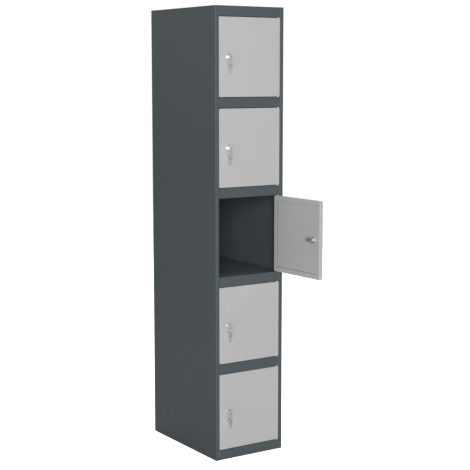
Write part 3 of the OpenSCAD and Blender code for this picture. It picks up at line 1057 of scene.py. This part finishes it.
body_colour = (0.056, 0.068, 0.0755)
# Edge colours lighter than the paint: partly rubbed wear, partly a painted highlight on the edges.
body_edge_wear_and_highlight = (0.098, 0.113, 0.125)
door_colour = (0.37, 0.37, 0.37)
door_edge_wear_and_highlight = (0.50, 0.50, 0.50)
body_paint = paint(
    "Anthracite powder paint", body_colour, body_edge_wear_and_highlight, peel_size=0.0018, roughness=0.46, dust=0.16)
door_paints = {}
for n in DOORS:
    door_paints[n] = paint(
        f"Light grey powder paint {n}", door_colour, door_edge_wear_and_highlight, peel_size=0.0016, roughness=0.42, dust=0.10,
        lock_place=lock_mapping(n))
chrome = metal("Chrome plate", (0.56, 0.56, 0.57), (0.40, 0.39, 0.37),
               scratch_size=0.0005, roughness=0.44, wear=0.25, depth=0.000003)
zinc = metal("Clear zinc plate", (0.66, 0.67, 0.68), (0.46, 0.45, 0.42),
             scratch_size=0.0003, roughness=0.46, wear=0.5, depth=0.000008)
steel = metal("Plain steel", (0.48, 0.47, 0.46), (0.24, 0.21, 0.18),
              scratch_size=0.0003, roughness=0.36, wear=0.6, depth=0.00001)
nickel = metal("Nickel plate", (0.62, 0.61, 0.59), (0.44, 0.42, 0.38),
               scratch_size=0.0004, roughness=0.44, wear=0.4, depth=0.000006)
nylon = plastic("Natural nylon", (0.76, 0.74, 0.68),
                grain_size=0.0003, roughness=0.45, depth=0.00001, specular=0.45)
rubber = plastic("Black rubber", (0.022, 0.022, 0.023),
                 grain_size=0.0002, roughness=0.75, depth=0.00002, specular=0.3)


# ------------------------------------------------------------------ assembly
def fit(ob, name, body, material, slot, *nodes):
    """Gives a finished piece its name, finish and body, in place of the CAD nodes it stands for."""
    ob.name = name
    ob.data.name = name
    ob.data.materials.clear()
    ob.data.materials.append(material)
    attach(ob, body)
    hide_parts(*nodes)


fit(left_side(), "left_side", "cabinet", body_paint, "body_paint", "left_side_panel")
fit(right_side(), "right_side", "cabinet", body_paint, "body_paint", "right_side_panel")
fit(back_sheet(), "back_sheet", "cabinet", body_paint, "body_paint", "back_panel")
fit(top_sheet(), "top_sheet", "cabinet", body_paint, "body_paint", "top_panel")
base_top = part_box("base_panel")[1].z
base_tray = shelf_tray("base_tray", base_top, rail_h, False)
fit(base_tray, "base_tray", "cabinet", body_paint, "body_paint", "base_panel")
first_shelf = shelf_tray("shelf_tray", shelf_hi.z, deck_flange, True)
for n in SHELVES:
    shelf = copy_piece(first_shelf, "shelf", (0, 0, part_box(f"shelf_{n}")[1].z - shelf_hi.z))
    fit(shelf, f"shelf_tray_{n}", "cabinet", body_paint, "body_paint", f"shelf_{n}")
bpy.data.objects.remove(first_shelf)

lower_bush = pivot_bush()
upper_bush = mirror_up(lower_bush, (pan_lo.z + pan_hi.z) / 2)
low_buffer = door_buffer()
buffer_rise = (0, 0, pan_hi.z - pan_lo.z - 2 * buffer_inset)
bushes = []
buffers = []
for n in DOORS:
    bushes += [copy_piece(ob, "bush", door_shift(n)) for ob in (lower_bush, upper_bush)]
    buffers.append(copy_piece(low_buffer, "buffer", door_shift(n)))
    buffers.append(copy_piece(low_buffer, "buffer", door_shift(n) + Vector(buffer_rise)))
for ob in (lower_bush, upper_bush, low_buffer):
    bpy.data.objects.remove(ob)
fit(join(bushes, "bushes"), "bushes", "cabinet", nylon, "bush_nylon", "pivot_bushes")
fit(join(buffers, "buffers"), "buffers", "cabinet", rubber, "buffer_rubber", "door_buffers")

foot_bracket = pivot_bracket()
head_bracket = mirror_up(foot_bracket, (pan_lo.z + pan_hi.z) / 2)
brackets = join([foot_bracket, head_bracket], "brackets")
key = lock_key()
door_pieces = [
    (door_pan(), "pan", "door", None, "door_paint", "outer_pan"),
    (door_tray(), "tray", "door", None, "door_paint", "inner_tray"),
    (brackets, "brackets", "door", steel, "bracket_steel", "pivot_brackets"),
    (lock_housing(), "housing", "door", chrome, "lock_chrome", "lock_housing"),
    (lock_nut(), "nut", "door", zinc, "nut_zinc", "lock_nut"),
    (lock_plug(), "plug", "lock", chrome, "lock_chrome", "lock_plug"),
    (lock_cam(), "cam", "lock", zinc, "nut_zinc", "lock_cam"),
    (cam_screw(), "cam_screw", "lock", zinc, "nut_zinc", "lock_cam"),
    (spare_key(key), "spare_key", "key_ring", nickel, "key_nickel", "key_ring"),
    (key, "key_in_lock", "key", nickel, "key_nickel", "key"),
    (key_ring(), "split_ring", "key_ring", nickel, "key_nickel", "key_ring"),
]
for ob, piece, body, finish, slot, node in door_pieces:
    for n in DOORS:
        twin = copy_piece(ob, piece, door_shift(n), door_angle(n))
        fit(twin, f"door_{n}_{piece}", f"{body}_{n}", finish or door_paints[n], slot, f"door_{n}_{node}")
    bpy.data.objects.remove(ob)


# ------------------------------------------------------------------ stage, light and camera
def floor_finish():
    """Pale matt floor. Its light on the locker is held down, and it looks as white as the room."""
    material, tree, shader = new_finish("Pale floor")
    mottle = noise(tree, object_place(tree), 0.6, 3.0)
    shade = maths(tree, "ADD", 0.93, maths(tree, "MULTIPLY", mottle, 0.02))
    seen = add(tree, "LightPath").outputs["Is Camera Ray"]
    shade = maths(tree, "MULTIPLY", shade, maths(tree, "ADD", 0.4, maths(tree, "MULTIPLY", seen, 0.6)))
    grey = add(tree, "CombineColor", {0: shade, 1: shade, 2: shade}).outputs[0]
    tree.links.new(grey, shader.inputs["Base Color"])
    shader.inputs["Roughness"].default_value = 0.9
    shader.inputs["Specular IOR Level"].default_value = 0.1
    shader.inputs["Emission Color"].default_value = (1.0, 1.0, 1.0, 1.0)
    tree.links.new(maths(tree, "MULTIPLY", seen, 0.82), shader.inputs["Emission Strength"])
    return material


def lay_floor():
    """A wide round floor under the locker."""
    below = -0.0005
    bpy.ops.mesh.primitive_circle_add(vertices=96, radius=90, fill_type="NGON", location=(0, 0, below))
    ob = settle(bpy.context.object, "floor")
    ob.data.materials.append(floor_finish())


def soft_light(name, place, target, size, watts):
    """A large square light that looks at a target."""
    lamp = bpy.data.lights.new(name, "AREA")
    lamp.shape = "SQUARE"
    lamp.size = size
    lamp.energy = watts
    ob = bpy.data.objects.new(name, lamp)
    bpy.context.scene.collection.objects.link(ob)
    ob.location = place
    ob.rotation_euler = (Vector(target) - Vector(place)).to_track_quat("-Z", "Y").to_euler()


def light_room():
    """White room that looks brighter than it shines, and four large soft lights."""
    world = bpy.data.worlds.new("Studio")
    bpy.context.scene.world = world
    world.use_nodes = True
    tree = world.node_tree
    shown = 1.05
    mirrored = 0.55
    shining = 0.21
    path = add(tree, "LightPath").outputs
    sight = maths(tree, "MULTIPLY", path["Is Camera Ray"], shown - shining)
    mirror = maths(tree, "MULTIPLY", path["Is Glossy Ray"], mirrored - shining)
    strength = maths(tree, "ADD", maths(tree, "ADD", shining, sight), mirror)
    background = tree.nodes["Background"]
    background.inputs["Color"].default_value = (1.0, 1.0, 1.0, 1.0)
    tree.links.new(strength, background.inputs["Strength"])
    middle = (0, 0, height / 2)
    soft_light("front_light", (-3.7, -6.6, 2.0), middle, size=3.4, watts=680)
    soft_light("top_light", (0.0, 0.6, 6.0), middle, size=7.0, watts=110)
    soft_light("back_light", (0.6, 4.6, 2.4), middle, size=2.2, watts=110)
    soft_light("right_light", (4.0, 0.8, 2.2), middle, size=2.0, watts=120)


def set_camera():
    """Camera to the left of the locker, a little below its top."""
    lens = bpy.data.cameras.new("camera")
    lens.sensor_width = 36
    lens.lens = 91.766
    ob = bpy.data.objects.new("camera", lens)
    bpy.context.scene.collection.objects.link(ob)
    ob.location = (-2.636, -4.1764, 1.5384)
    tilt = 7.647
    heading = -33.16
    ob.rotation_euler = (math.radians(90 - tilt), 0, math.radians(heading))
    bpy.context.scene.camera = ob


lay_floor()
light_room()
set_camera()
bpy.context.scene.view_settings.view_transform = "Standard"
